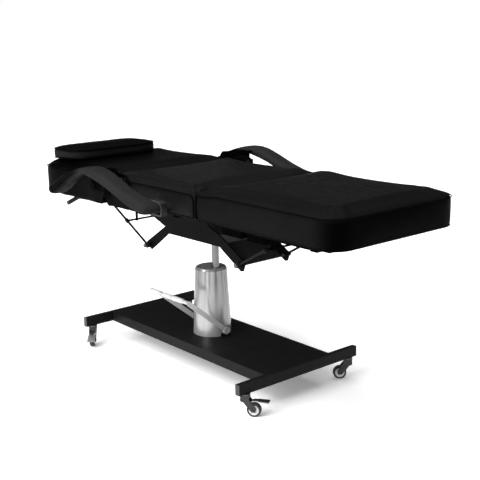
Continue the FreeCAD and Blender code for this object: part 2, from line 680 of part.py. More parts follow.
# ------------------------------------------------------- strut rods and collars
def strut(px, pz, ax, az, length, mirrored):
    """A rod in the plane y = -strutY from its pivot eye P through the collar at A."""
    dx, dz = ax.value - px.value, az.value - pz.value
    tilt = math.degrees(math.atan2(dx, dz))
    turn = FreeCAD.Rotation(FreeCAD.Vector(0, 1, 0), tilt)
    y = s.strutY if mirrored else -s.strutY
    bar = rod(turn, (px, y, pz), s.strutRadius, length)
    eye = rod("Y", (px, y - 6, pz), 11, 12)
    return cut(fuse(bar, eye), rod("Y", (px, y - 20, pz), s.pinBore, 40))


def collar(px, pz, ax, az, mirrored):
    """A short sleeve the rod slides through, pinned to the tie rod's end."""
    dx, dz = ax.value - px.value, az.value - pz.value
    length = math.hypot(dx, dz)
    tilt = math.degrees(math.atan2(dx, dz))
    turn = FreeCAD.Rotation(FreeCAD.Vector(0, 1, 0), tilt)
    y = s.strutY if mirrored else -s.strutY
    ux, uz = dx / length, dz / length
    low = (ax - 8 * ux, y, az - 8 * uz)
    far = (ax - 60 * ux, y, az - 60 * uz)
    return cut(rod(turn, low, 7.8, 16), rod(turn, far, s.collarBore, 120))


back_line = (s.backStrutX, s.backStrutZ, s.backCollarX, s.backCollarZ)
leg_line = (s.legStrutX, s.legStrutZ, s.legCollarX, s.legCollarZ)
node("back_strut_rods", group(strut(*back_line, s.backRodLength, False),
                              strut(*back_line, s.backRodLength, True)))
node("leg_strut_rods", group(strut(*leg_line, s.legRodLength, False),
                             strut(*leg_line, s.legRodLength, True)))
node("back_strut_collars", group(collar(*back_line, False), collar(*back_line, True)))
node("leg_strut_collars", group(collar(*leg_line, False), collar(*leg_line, True)))

# -------------------------------------------------------------- release lever
handleX, handleZ = -601, 598
grip_turn = FreeCAD.Rotation(FreeCAD.Vector(1, 0, 0), -70.1)
arm_turn = FreeCAD.Rotation(FreeCAD.Vector(1, 0, 0), -94.4)
lever = fuse(rod(grip_turn, (handleX, -283, handleZ - 10), 8.5, 50), rod(arm_turn, (handleX, -242, 603.8), 4.5, 75),
             rod("X", (handleX - 6, -165, handleZ), 5.5, 12))
node("release_lever", cut(lever, rod("X", (handleX - 20, -165, handleZ), 2.55, 40)))

# ------------------------------------------------------------------- armrests
ax_, az_ = s.armPivotX, s.armPivotZ
gx = ax_ + s.linkStep
link = side_plate([[(gx - 9, az_ - 11), (gx + 9, az_ - 11), (linkX + 11, bz - 9), (linkX + 9, bz + 11),
                    (linkX - 9, bz + 11), (gx - 11, az_ + 9)],
                   ("circle", linkX, bz, s.pinBore), ("circle", gx, az_, s.pinBore)],
                  -s.linkY, s.sideSheet)
node("armrest_links", group(link, mirror(link)))
arm_plate = side_plate([[(-350, 690), (-338, 682), (-250, 684), (-236, 696), (-164, 744), (-162, 772),
                         (-172, 780), (-200, 781), (-334, 763), (-348, 750)],
                        ("circle", ax_, az_, s.pinBore), ("circle", gx, az_, s.pinBore)],
                       -s.armSideY, s.sideSheet)
studs = [rod("Y", (x, -s.padInner - 6, z), 5, s.padInner + 6 - s.armSideY - s.sideSheet)
         for x, z in ((-322, 754.5), (-184, 773.5))]
near_arm = fuse(arm_plate, *studs)
node("armrest_brackets", group(near_arm, mirror(near_arm)))
node("armrest_pins", group(*(side_pins(ax_, az_, s.backSideY - 1, s.armSideY + s.sideSheet + 0.2)
                             + side_pins(gx, az_, s.linkY - 1, s.armSideY + s.sideSheet + 0.2))))
node("seat_pivot_bolts", group(*(nubs + flush_pins(linkX, bz, s.linkY + s.sideSheet + 0.6))))
PAD = [(-505, 690), (-374, 752), (-300, 776), (-245, 789), (-195, 791), (-150, 783), (-92, 764),
       (-43, 747), (0, 733), (79, 712), (166, 697), (160, 663), (118, 669), (50, 683), (-55, 722),
       (-106, 739), (-193, 757), (-230, 763), (-255, 763), (-320, 740), (-400, 697), (-488, 650)]
pad_body = side_plate([PAD], -s.padInner, s.padOuter - s.padInner)
rounded(pad_body, 11, lambda e: abs(along(e).y) < 1)
near_pad = cut(pad_body, *[rod("Y", (x, -s.padInner - 6.02, z), 5.02, 20) for x, z in ((-322, 754.5), (-184, 773.5))])
node("armrest_pads", group(near_pad, mirror(near_pad)))

# --------------------------------------------------------------------- pillow
px0, px1 = s.pillowX - s.pillowDeep / 2, s.pillowX + s.pillowDeep / 2
ph = s.pillowLong / 2
pillow = padded("XY_Plane", [[(px0, s.pillowY - ph), (px1, s.pillowY - ph), (px1, s.pillowY + ph),
                               (px0, s.pillowY + ph)]],
                s.pillowHigh, s.cushTop + 0.3)
rounded(pillow, 70, lambda e: abs(along(e).z) > 30)
rounded(pillow, 20, lambda e: abs(e.BoundBox.ZLength) < 0.1)
node("pillow", pillow)

# -------------------------------------------------------------- check, write
doc.recompute()
for obj in doc.Objects:
    if "Invalid" in obj.State or "Error" in obj.State:
        raise RuntimeError("%s (%s) is %s" % (obj.Name, obj.Label, obj.State))
os.makedirs("parts", exist_ok=True)
for old in os.listdir("parts"):
    if old.endswith(".step"):
        os.remove(os.path.join("parts", old))
for name, obj in NODES.items():
    shape = obj.Shape
    if shape.isNull() or not shape.isValid() or shape.Volume <= 0:
        raise RuntimeError("bad shape: " + name)
    shape.exportStep("parts/%s.step" % name)
print(len(NODES), "nodes written")
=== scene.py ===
import json
import math

import bmesh
import bpy
from mathutils import Matrix, Vector, kdtree, noise


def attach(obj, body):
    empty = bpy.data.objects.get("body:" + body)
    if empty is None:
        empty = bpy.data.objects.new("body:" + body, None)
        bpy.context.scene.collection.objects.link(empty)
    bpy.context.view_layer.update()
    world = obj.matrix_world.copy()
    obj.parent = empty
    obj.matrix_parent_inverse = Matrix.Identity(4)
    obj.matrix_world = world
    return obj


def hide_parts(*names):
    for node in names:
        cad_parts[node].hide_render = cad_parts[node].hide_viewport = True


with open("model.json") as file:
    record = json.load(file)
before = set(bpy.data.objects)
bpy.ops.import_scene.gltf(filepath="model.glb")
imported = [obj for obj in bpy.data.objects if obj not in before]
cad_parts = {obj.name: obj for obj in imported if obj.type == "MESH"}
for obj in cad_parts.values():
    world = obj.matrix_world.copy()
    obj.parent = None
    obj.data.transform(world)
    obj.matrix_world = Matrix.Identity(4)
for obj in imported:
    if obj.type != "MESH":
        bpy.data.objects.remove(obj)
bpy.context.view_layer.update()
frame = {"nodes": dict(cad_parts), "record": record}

scene = bpy.context.scene
scene.view_settings.view_transform = "Standard"

# ------------------------------------------------------------------ camera
AZ, EL, ROLL = math.radians(50.24), math.radians(13.43), math.radians(-1.11)
back = Vector((math.sin(AZ) * math.cos(EL), -math.cos(AZ) * math.cos(EL), math.sin(EL)))
right = (-back).cross(Vector((0, 0, 1))).normalized()
up = right.cross(-back)
c, s = math.cos(ROLL), math.sin(ROLL)
cam_x = c * right + s * up
cam_y = -s * right + c * up
cam_data = bpy.data.cameras.new("Camera")
cam_data.sensor_fit = "HORIZONTAL"
cam_data.sensor_width = 36.0
cam_data.lens = 68.97
cam_data.clip_end = 200
camera = bpy.data.objects.new("Camera", cam_data)
scene.collection.objects.link(camera)
m = Matrix.Identity(3)
m.col[0], m.col[1], m.col[2] = cam_x, cam_y, back
camera.matrix_world = Matrix.Translation(Vector((2.66635, -2.09523, 1.29664))) @ m.to_4x4()
scene.camera = camera


# --------------------------------------------------------------- materials
def new_mat(name):
    mat = bpy.data.materials.new(name)
    mat.use_nodes = True
    nt = mat.node_tree
    bsdf = next(n for n in nt.nodes if n.type == "BSDF_PRINCIPLED")
    return mat, nt, bsdf


def texture(nt, kind, scale, **settings):
    coord = nt.nodes.new("ShaderNodeTexCoord")
    tex = nt.nodes.new(kind)
    nt.links.new(coord.outputs["Object"], tex.inputs["Vector"])
    tex.inputs["Scale"].default_value = scale
    for key, value in settings.items():
        if key in tex.inputs:
            tex.inputs[key].default_value = value
        else:
            setattr(tex, key, value)
    return tex


def ramp(nt, source, stops):
    r = nt.nodes.new("ShaderNodeValToRGB")
    nt.links.new(source, r.inputs["Fac"])
    els = r.color_ramp.elements
    while len(els) < len(stops):
        els.new(0.5)
    for el, (pos, col) in zip(els, stops):
        el.position = pos
        el.color = (*col, 1) if len(col) == 3 else col
    return r


def map_range(nt, source, lo, hi, to_lo, to_hi):
    n = nt.nodes.new("ShaderNodeMapRange")
    nt.links.new(source, n.inputs["Value"])
    for key, value in (("From Min", lo), ("From Max", hi), ("To Min", to_lo), ("To Max", to_hi)):
        n.inputs[key].default_value = value
    return n


def bump(nt, bsdf, sources, distance=0.001):
    """Chains height maps, each (socket, strength, distance)."""
    last = None
    for socket, strength, dist in sources:
        b = nt.nodes.new("ShaderNodeBump")
        b.inputs["Strength"].default_value = strength
        b.inputs["Distance"].default_value = dist
        nt.links.new(socket, b.inputs["Height"])
        if last is not None:
            nt.links.new(last.outputs["Normal"], b.inputs["Normal"])
        last = b
    nt.links.new(last.outputs["Normal"], bsdf.inputs["Normal"])


def paint_shade_by_axis(nt, colour, steps):
    """Paints shade into the colour: darkens it along the listed axes, each step being (axis, dark at, full at,
    least); the steps' factors are joined with their largest value."""
    coord = nt.nodes.new("ShaderNodeTexCoord")
    sep = nt.nodes.new("ShaderNodeSeparateXYZ")
    nt.links.new(coord.outputs["Object"], sep.inputs["Vector"])
    factor = None
    for axis, dark, full, least in steps:
        m = map_range(nt, sep.outputs[axis], dark, full, least, 1.0)
        m.interpolation_type = "SMOOTHSTEP"
        if factor is None:
            factor = m.outputs["Result"]
        else:
            big = nt.nodes.new("ShaderNodeMath")
            big.operation = "MAXIMUM"
            nt.links.new(factor, big.inputs[0])
            nt.links.new(m.outputs["Result"], big.inputs[1])
            factor = big.outputs["Value"]
    scale = nt.nodes.new("ShaderNodeVectorMath")
    scale.operation = "SCALE"
    nt.links.new(colour, scale.inputs[0])
    nt.links.new(factor, scale.inputs["Scale"])
    return scale.outputs["Vector"]


def vinyl(name, base, light, rough=0.46, level=0.13, shade=None):
    """Grained synthetic leather: pebble cells, fine pores, slow colour and gloss drift. A given shade paints shade
    into the colour along axes.
    """
    mat, nt, b = new_mat(name)
    cells = texture(nt, "ShaderNodeTexVoronoi", 620, feature="DISTANCE_TO_EDGE")
    pores = texture(nt, "ShaderNodeTexNoise", 1500, Detail=2.0)
    drift = texture(nt, "ShaderNodeTexNoise", 5.5, Detail=4.0, Roughness=0.6)
    fine = texture(nt, "ShaderNodeTexNoise", 46, Detail=3.0)
    col = ramp(nt, drift.outputs["Fac"], [(0.30, base), (0.72, light)])
    last = col.outputs["Color"]
    # painted shade: the colour darkens along the given axes
    if shade:
        last = paint_shade_by_axis(nt, last, shade)
    nt.links.new(last, b.inputs["Base Color"])
    r = map_range(nt, fine.outputs["Fac"], 0.3, 0.7, rough - 0.05, rough + 0.07)
    nt.links.new(r.outputs["Result"], b.inputs["Roughness"])
    b.inputs["Specular IOR Level"].default_value = level
    b.inputs["IOR"].default_value = 1.33
    grain = map_range(nt, cells.outputs["Distance"], 0.0, 0.25, 0.0, 1.0)
    bump(nt, b, [(grain.outputs["Result"], 0.35, 0.00035), (pores.outputs["Fac"], 0.12, 0.0002),
                 (fine.outputs["Fac"], 0.10, 0.0012)])
    return mat


def powder(name, base, rough=0.45, level=0.3):
    """Powder coat with a fine orange-peel and slightly worn gloss."""
    mat, nt, b = new_mat(name)
    peel = texture(nt, "ShaderNodeTexNoise", 900, Detail=2.0)
    broad = texture(nt, "ShaderNodeTexNoise", 14, Detail=5.0, Roughness=0.65)
    lighter = tuple(min(1, v * 1.35 + 0.0004) for v in base)
    col = ramp(nt, broad.outputs["Fac"], [(0.35, base), (0.75, lighter)])
    nt.links.new(col.outputs["Color"], b.inputs["Base Color"])
    r = map_range(nt, broad.outputs["Fac"], 0.3, 0.7, rough - 0.06, rough + 0.08)
    nt.links.new(r.outputs["Result"], b.inputs["Roughness"])
    b.inputs["Specular IOR Level"].default_value = level
    bump(nt, b, [(peel.outputs["Fac"], 0.18, 0.0003)])
    return mat


def metal(name, base, rough, streak=(60, 60, 6), amount=0.05):
    """Polished or plated metal with faint polishing streaks and smudges."""
    mat, nt, b = new_mat(name)
    coord = nt.nodes.new("ShaderNodeTexCoord")
    mp = nt.nodes.new("ShaderNodeMapping")
    mp.inputs["Scale"].default_value = streak
    nt.links.new(coord.outputs["Object"], mp.inputs["Vector"])
    tex = nt.nodes.new("ShaderNodeTexNoise")
    tex.inputs["Scale"].default_value = 4.0
    tex.inputs["Detail"].default_value = 6.0
    nt.links.new(mp.outputs["Vector"], tex.inputs["Vector"])
    smudge = texture(nt, "ShaderNodeTexNoise", 18, Detail=4.0, Roughness=0.7)
    darker = tuple(v * 0.86 for v in base)
    col = ramp(nt, smudge.outputs["Fac"], [(0.25, darker), (0.6, base)])
    nt.links.new(col.outputs["Color"], b.inputs["Base Color"])
    r = map_range(nt, tex.outputs["Fac"], 0.3, 0.7, max(0.02, rough - amount), rough + amount)
    nt.links.new(r.outputs["Result"], b.inputs["Roughness"])
    b.inputs["Metallic"].default_value = 1.0
    bump(nt, b, [(tex.outputs["Fac"], 0.03, 0.0004)])
    return mat


def satin(name, base, metallic=0.35, rough=0.45):
    """Dull nickel plating: part diffuse, part metal, with fine brushing."""
    mat, nt, b = new_mat(name)
    fine = texture(nt, "ShaderNodeTexNoise", 260, Detail=3.0)
    broad = texture(nt, "ShaderNodeTexNoise", 20, Detail=4.0)
    col = ramp(nt, broad.outputs["Fac"], [(0.3, tuple(v * 0.90 for v in base)), (0.7, base)])
    nt.links.new(col.outputs["Color"], b.inputs["Base Color"])
    r = map_range(nt, fine.outputs["Fac"], 0.3, 0.7, rough - 0.07, rough + 0.07)
    nt.links.new(r.outputs["Result"], b.inputs["Roughness"])
    b.inputs["Metallic"].default_value = metallic
    bump(nt, b, [(fine.outputs["Fac"], 0.05, 0.0003)])
    return mat


def plastic(name, base, rough=0.5, grain=700, strength=0.25):
    mat, nt, b = new_mat(name)
    g = texture(nt, "ShaderNodeTexNoise", grain, Detail=2.0)
    d = texture(nt, "ShaderNodeTexNoise", 25, Detail=4.0)
    lighter = tuple(min(1, v * 1.25 + 0.003) for v in base)
    col = ramp(nt, d.outputs["Fac"], [(0.3, base), (0.7, lighter)])
    nt.links.new(col.outputs["Color"], b.inputs["Base Color"])
    r = map_range(nt, d.outputs["Fac"], 0.3, 0.7, rough - 0.05, rough + 0.08)
    nt.links.new(r.outputs["Result"], b.inputs["Roughness"])
    b.inputs["Specular IOR Level"].default_value = 0.4
    bump(nt, b, [(g.outputs["Fac"], strength, 0.0003)])
    return mat


def wood(name):
    mat, nt, b = new_mat(name)
    coord = nt.nodes.new("ShaderNodeTexCoord")
    mp = nt.nodes.new("ShaderNodeMapping")
    mp.inputs["Scale"].default_value = (3.0, 40.0, 40.0)
    nt.links.new(coord.outputs["Object"], mp.inputs["Vector"])
    w = nt.nodes.new("ShaderNodeTexNoise")
    w.inputs["Scale"].default_value = 3.0
    w.inputs["Detail"].default_value = 8.0
    nt.links.new(mp.outputs["Vector"], w.inputs["Vector"])
    # near-black grain colours: the board's own dark tone, darkened further as painted shade under the cushions
    col = ramp(nt, w.outputs["Fac"], [(0.3, (0.0006, 0.0005, 0.0004)), (0.7, (0.0014, 0.0012, 0.0010))])
    nt.links.new(col.outputs["Color"], b.inputs["Base Color"])
    b.inputs["Roughness"].default_value = 0.7
    b.inputs["Specular IOR Level"].default_value = 0.08
    bump(nt, b, [(w.outputs["Fac"], 0.2, 0.0006)])
    return mat


def cover_painted_reflection(name):
    """Pressed and polished steel tube with painted reflections in its colour: dark and light bands round the tube
    that fade downwards from the rim into a pale grey, and a paler painted light on the top disc.
    """
    mat, nt, b = new_mat(name)
    coord = nt.nodes.new("ShaderNodeTexCoord")
    sep = nt.nodes.new("ShaderNodeSeparateXYZ")
    nt.links.new(coord.outputs["Object"], sep.inputs["Vector"])
    turn = nt.nodes.new("ShaderNodeMath")
    turn.operation = "ARCTAN2"
    nt.links.new(sep.outputs["Y"], turn.inputs[0])
    nt.links.new(sep.outputs["X"], turn.inputs[1])
    wave = nt.nodes.new("ShaderNodeTexNoise")
    wave.noise_dimensions = "2D"
    wave.inputs["Scale"].default_value = 1.0
    wave.inputs["Detail"].default_value = 3.0
    wave.inputs["Roughness"].default_value = 0.55
    flat = nt.nodes.new("ShaderNodeCombineXYZ")
    a = nt.nodes.new("ShaderNodeMath")
    a.operation = "MULTIPLY"
    a.inputs[1].default_value = 3.4
    nt.links.new(turn.outputs["Value"], a.inputs[0])
    h = nt.nodes.new("ShaderNodeMath")
    h.operation = "MULTIPLY"
    h.inputs[1].default_value = 2.2
    nt.links.new(sep.outputs["Z"], h.inputs[0])
    nt.links.new(a.outputs["Value"], flat.inputs["X"])
    nt.links.new(h.outputs["Value"], flat.inputs["Y"])
    nt.links.new(flat.outputs["Vector"], wave.inputs["Vector"])
    # painted reflection: dark and light bands round the tube stand in for reflected surroundings
    streak = ramp(nt, wave.outputs["Fac"], [(0.36, (0.03, 0.03, 0.03)), (0.46, (0.12, 0.12, 0.122)),
                                            (0.58, (0.20, 0.20, 0.203)), (0.72, (0.30, 0.30, 0.305))])
    # painted reflection: towards the bottom the bands give way to an even pale grey
    foot = map_range(nt, sep.outputs["Z"], 0.15, 0.34, 0.12, 0.85)
    mix = nt.nodes.new("ShaderNodeMix")
    mix.data_type = "RGBA"
    mix.inputs["A"].default_value = (0.44, 0.44, 0.445, 1)
    nt.links.new(foot.outputs["Result"], mix.inputs["Factor"])
    nt.links.new(streak.outputs["Color"], mix.inputs["B"])
    # painted light: the flat top is blended to a paler grey
    crown_light_mask = map_range(nt, sep.outputs["Z"], 0.376, 0.381, 0.0, 0.8)
    painted_crown_light = nt.nodes.new("ShaderNodeMix")
    painted_crown_light.data_type = "RGBA"
    painted_crown_light.inputs["B"].default_value = (0.50, 0.50, 0.505, 1)
    nt.links.new(crown_light_mask.outputs["Result"], painted_crown_light.inputs["Factor"])
    nt.links.new(mix.outputs["Result"], painted_crown_light.inputs["A"])
    nt.links.new(painted_crown_light.outputs["Result"], b.inputs["Base Color"])
    b.inputs["Metallic"].default_value = 0.45
    smudge = texture(nt, "ShaderNodeTexNoise", 22, Detail=4.0, Roughness=0.7)
    r = map_range(nt, smudge.outputs["Fac"], 0.3, 0.7, 0.16, 0.26)
    nt.links.new(r.outputs["Result"], b.inputs["Roughness"])
    bump(nt, b, [(wave.outputs["Fac"], 0.05, 0.002)])
    return mat


M_VINYL = vinyl("black_vinyl", (0.0034, 0.0034, 0.0036), (0.0044, 0.0044, 0.0047), 0.46, 0.06)
# painted shade: the back's colour darkens towards the head end
M_BACK = vinyl("black_vinyl_back_painted_shade", (0.0034, 0.0034, 0.0036), (0.0044, 0.0044, 0.0047), 0.46, 0.015,
               [("X", -0.58, -0.27, 0.05)])
# painted shade: the leg rest's colour darkens on the lower part of its foot end
M_LEG = vinyl("black_vinyl_leg_painted_shade", (0.0036, 0.0036, 0.0038), (0.0047, 0.0047, 0.0050), 0.46, 0.02,
              [("X", 0.888, 0.800, 0.03), ("Z", 0.728, 0.745, 0.03)])
# painted light and shade: the arm pads are paler than the cushions, and darker towards their rear ends
M_PAD = vinyl("black_vinyl_pad_painted_light_and_shade", (0.0125, 0.0125, 0.0129), (0.0160, 0.0160, 0.0166), 0.46, 0.02,
              [("X", -0.30, -0.23, 0.02)])
# painted light and shade: the pillow is paler than the cushions, with its top darker than its sides
M_PILLOW = vinyl("black_vinyl_pillow_painted_light_and_shade", (0.0085, 0.0085, 0.0088), (0.0110, 0.0110, 0.0114), 0.50, 0.02,
                 [("Z", 0.795, 0.783, 0.15)])
M_PIPE = vinyl("black_piping", (0.0006, 0.0006, 0.0006), (0.0011, 0.0011, 0.0011), 0.70, 0.02)
M_POWDER = powder("black_powder_coat", (0.0054, 0.0054, 0.0056), 0.46, 0.08)
# painted shade: a darker copy of the black powder coat for the seat side plates, strut legs and hub
M_PLATE = powder("seat_frame_coat_painted_shade", (0.0012, 0.0012, 0.0013), 0.50, 0.03)
# painted shade: a near-black copy of the coat for the armrest links and pins and the pivot brackets
M_BRACKET = powder("bracket_coat_painted_shade", (0.0010, 0.0010, 0.0011), 0.60, 0.02)
# painted shade: the blackest copy of the coat for the rails, tubes, tie rods and hinges under the cushions
M_FRAME = powder("black_frame_painted_shade", (0.0003, 0.0003, 0.0003), 0.75, 0.01)
# painted light: a paler copy of the coat for the sloping front sheet under the seat
M_SHEET = powder("sloping_sheet_painted_light", (0.0300, 0.0300, 0.0305), 0.50, 0.20)
M_SATIN = satin("satin_nickel", (0.56, 0.56, 0.57))
M_CHROME = metal("polished_chrome", (0.72, 0.72, 0.73), 0.10)
# pump cover steel with painted reflections and painted light in its colour
M_COVER = cover_painted_reflection("polished_cover_painted_reflection")
M_TUBE = satin("lift_tube_chrome", (0.14, 0.14, 0.143), 0.75, 0.20)
M_HOOK = powder("hook_coat", (0.006, 0.006, 0.0062), 0.40, 0.3)
M_TOE = metal("pressed_steel_toe", (0.30, 0.30, 0.31), 0.34)
M_ZINC = metal("dark_zinc", (0.10, 0.10, 0.105), 0.38)
M_IRON = powder("pump_casting", (0.03, 0.03, 0.032), 0.55)
M_RUBBER = plastic("grey_rubber", (0.50, 0.50, 0.51), 0.55, 400, 0.4)
M_TYRE = plastic("black_tread", (0.012, 0.012, 0.012), 0.55, 500, 0.3)
M_HUB = plastic("pale_hub", (0.55, 0.55, 0.55), 0.4, 600, 0.15)
M_NYLON = plastic("black_nylon", (0.012, 0.012, 0.0125), 0.40, 650, 0.25)
M_GRIP = plastic("dark_grip", (0.012, 0.012, 0.0125), 0.5, 500, 0.35)
M_PLY = wood("dark_plywood_painted_shade")

BY_SLOT = {"black_paint": M_POWDER, "chrome": M_CHROME, "pedal_rubber": M_RUBBER, "cast_pump": M_IRON,
           "zinc_fasteners": M_ZINC, "black_upholstery": M_VINYL, "plywood": M_PLY, "tyre": M_TYRE,
           "black_plastic": M_NYLON, "grey_plastic": M_GRIP}
slot_of = {e["node"]: e["material_slot"] for e in frame["record"]["subparts"]}


def smooth(obj, angle=35):
    """Smooth shading with sharp edges kept where the surface turns by more than angle."""
    bm = bmesh.new()
    bm.from_mesh(obj.data)
    limit = math.radians(angle)
    for f in bm.faces:
        f.smooth = True
    for e in bm.edges:
        e.smooth = not (len(e.link_faces) == 2 and e.calc_face_angle(0) > limit)
    bm.to_mesh(obj.data)
    bm.free()


# the front sheet takes the paler painted-light coat, and the pump cover the steel with painted reflections
BY_NODE = {"pump_cover": M_COVER, "seat_front_sheet": M_SHEET, "pedal_arms": M_SATIN, "pedal_crossbar": M_SATIN,
           "pedal_shaft": M_SATIN, "lift_tube": M_TUBE}
# the seat side plates, strut legs and hub take the darker coat as painted shade
BY_NODE.update({"seat_side_plates": M_PLATE, "seat_strut_legs": M_PLATE, "seat_hub": M_PLATE,
                "armrest_hooks": M_HOOK})
# the rails, tubes, tie rods and hinge parts under the cushions take the blackest coat as painted shade; the
# brackets among them are reassigned below
for name in ("armrest_brackets", "armrest_links", "armrest_pins", "back_pivot_pins", "back_side_brackets",
             "seat_side_brackets", "leg_rails", "leg_cross_tubes", "back_cross_tubes", "seat_cross_tubes", "back_rails", "seat_beams",
             "back_tie_rod", "leg_tie_rod", "leg_hinge_knuckles", "leg_hinge_lugs"):
    BY_NODE[name] = M_FRAME
# the brackets, links and pins take the near-black coat as painted shade
for name in ("armrest_links", "armrest_pins", "back_pivot_pins", "back_side_brackets", "seat_side_brackets"):
    BY_NODE[name] = M_BRACKET
for tag in ("front_near", "front_far", "rear_near", "rear_far"):
    BY_NODE["castor_brake_" + tag] = M_TOE
BEVEL = {"pump_cover": 0.0, "lift_tube": 0.0}
for name, obj in frame["nodes"].items():
    obj.data.materials.clear()
    obj.data.materials.append(BY_NODE.get(name, BY_SLOT[slot_of[name]]))
    width = BEVEL.get(name, 0.0007)
    if width:
        bev = obj.modifiers.new("edges", "BEVEL")
        bev.width = width
        bev.segments = 2
        bev.limit_method = "ANGLE"
        bev.angle_limit = math.radians(40)
        bev.harden_normals = False
        bev.use_clamp_overlap = True


# ----------------------------------------------------------- mesh helpers
def mesh_object(name, verts, faces, mat):
    me = bpy.data.meshes.new(name)
    me.from_pydata([tuple(v) for v in verts], [], faces)
    me.validate()
    bm = bmesh.new()
    bm.from_mesh(me)
    bmesh.ops.recalc_face_normals(bm, faces=bm.faces)
    for f in bm.faces:
        f.smooth = True
    bm.to_mesh(me)
    bm.free()
    me.materials.append(mat)
    obj = bpy.data.objects.new(name, me)
    scene.collection.objects.link(obj)
    return obj


def rounded_outline(x0, x1, w, r0, r1, step=0.006):
    """Plan outline of a cushion: corner radius r0 at x0, r1 at x1, counter-clockwise."""
    pts = []

    def line(a, b):
        n = max(1, int((b - a).length / step))
        for i in range(n):
            pts.append(a.lerp(b, i / n))

    def arc(cx, cy, r, a0, a1):
        n = max(4, int(r * abs(a1 - a0) / step))
        for i in range(n):
            t = a0 + (a1 - a0) * i / n
            pts.append(Vector((cx + r * math.cos(t), cy + r * math.sin(t))))

    q = math.pi / 2
    line(Vector((x0 + r0, -w)), Vector((x1 - r1, -w)))
    arc(x1 - r1, -w + r1, r1, -q, 0)
    line(Vector((x1, -w + r1)), Vector((x1, w - r1)))
    arc(x1 - r1, w - r1, r1, 0, q)
    line(Vector((x1 - r1, w)), Vector((x0 + r0, w)))
    arc(x0 + r0, w - r0, r0, q, 2 * q)
    line(Vector((x0, w - r0)), Vector((x0, -w + r0)))
    arc(x0 + r0, -w + r0, r0, 2 * q, 3 * q)
    return pts


def lofted(name, outline, profile, mat):
    """Closed solid: the plan outline inset and raised along profile [(inset, z), ...]."""
    n = len(outline)
    verts, faces = [], []
    normals = []
    for i, p in enumerate(outline):
        t = (outline[(i + 1) % n] - outline[i - 1]).normalized()
        normals.append(Vector((-t.y, t.x)))
    for inset, z in profile:
        for p, nrm in zip(outline, normals):
            q = p + nrm * inset
            verts.append((q.x, q.y, z))
    for k in range(len(profile) - 1):
        for i in range(n):
            j = (i + 1) % n
            faces.append((k * n + i, k * n + j, (k + 1) * n + j, (k + 1) * n + i))
    faces.append(tuple(range(n - 1, -1, -1)))
    faces.append(tuple((len(profile) - 1) * n + i for i in range(n)))
    return mesh_object(name, verts, faces, mat)


def apply_modifiers(obj):
    dg = bpy.context.evaluated_depsgraph_get()
    me = bpy.data.meshes.new_from_object(obj.evaluated_get(dg))
    old = obj.data
    obj.modifiers.clear()
    obj.data = me
    bpy.data.meshes.remove(old)
    for p in me.polygons:
        p.use_smooth = True


def remesh(obj, size):
    mod = obj.modifiers.new("remesh", "REMESH")
    mod.mode = "VOXEL"
    mod.voxel_size = size
    mod.use_smooth_shade = True
    apply_modifiers(obj)


def relax(obj, times):
    mod = obj.modifiers.new("relax", "SMOOTH")
    mod.factor = 0.5
    mod.iterations = times
    apply_modifiers(obj)


def inflate(obj, cap, pinned, pressure=4.0, frames=12, soft=False):
    """Cloth under inner pressure, held along its seams; no point moves further than cap."""
    rest = [v.co.copy() for v in obj.data.vertices]
    group = obj.vertex_groups.new(name="seams")
    weights = {}
    for i, co in enumerate(rest):
        w = pinned(co)
        if w > 0:
            weights.setdefault(round(w, 2), []).append(i)
    for w, ids in weights.items():
        group.add(ids, w, "REPLACE")
    cloth = obj.modifiers.new("cloth", "CLOTH")
    st = cloth.settings
    st.quality = 4
    st.mass = 0.25
    st.tension_stiffness = 12
    st.compression_stiffness = 12
    st.shear_stiffness = 6
    st.bending_stiffness = 0.6 if soft else 1.2
    st.use_pressure = True
    st.uniform_pressure_force = pressure
    st.effector_weights.gravity = 0.0
    st.vertex_group_mass = "seams"
    cloth.point_cache.frame_start = 1
    cloth.point_cache.frame_end = frames
    for f in range(1, frames + 1):
        scene.frame_set(f)
    dg = bpy.context.evaluated_depsgraph_get()
    ev = obj.evaluated_get(dg)
    moved = [v.co.copy() for v in ev.data.vertices]
    obj.modifiers.clear()
    scene.frame_set(1)
    for v, a, b in zip(obj.data.vertices, rest, moved):
        d = b - a
        if d.length > cap:
            d *= cap / d.length
        v.co = a + d
    obj.vertex_groups.clear()


def ripple(obj, amount, size, seed, keep=None):
    """Slow unevenness of stuffed upholstery along the surface normals."""
    off = Vector((seed * 3.7, seed * 1.3, seed * 2.1))
    for v in obj.data.vertices:
        h = noise.noise(v.co / size + off) + 0.5 * noise.noise(v.co / (size * 0.45) + off * 2)
        k = 1.0 if keep is None else keep(v.co)
        v.co += v.normal * (h * amount * k)
    obj.data.update()


def subdivide(obj, levels=1):
    mod = obj.modifiers.new("subdivision", "SUBSURF")
    mod.levels = levels
    mod.render_levels = levels
    apply_modifiers(obj)


def tube(name, points, radius, mat, closed=True, resolution=3):
    """A round cord through the points, as a mesh."""
    cu = bpy.data.curves.new(name, "CURVE")
    cu.dimensions = "3D"
    cu.bevel_depth = radius
    cu.bevel_resolution = resolution
    cu.use_fill_caps = not closed
    sp = cu.splines.new("POLY")
    sp.points.add(len(points) - 1)
    for p, q in zip(sp.points, points):
        p.co = (*q, 1)
    sp.use_cyclic_u = closed
    tmp = bpy.data.objects.new(name + "_path", cu)
    scene.collection.objects.link(tmp)
    bpy.context.view_layer.update()
    me = bpy.data.meshes.new_from_object(tmp.evaluated_get(bpy.context.evaluated_depsgraph_get()))
    bpy.data.objects.remove(tmp)
    me.materials.clear()
    me.materials.append(mat)
    for p in me.polygons:
        p.use_smooth = True
    obj = bpy.data.objects.new(name, me)
    scene.collection.objects.link(obj)
    return obj


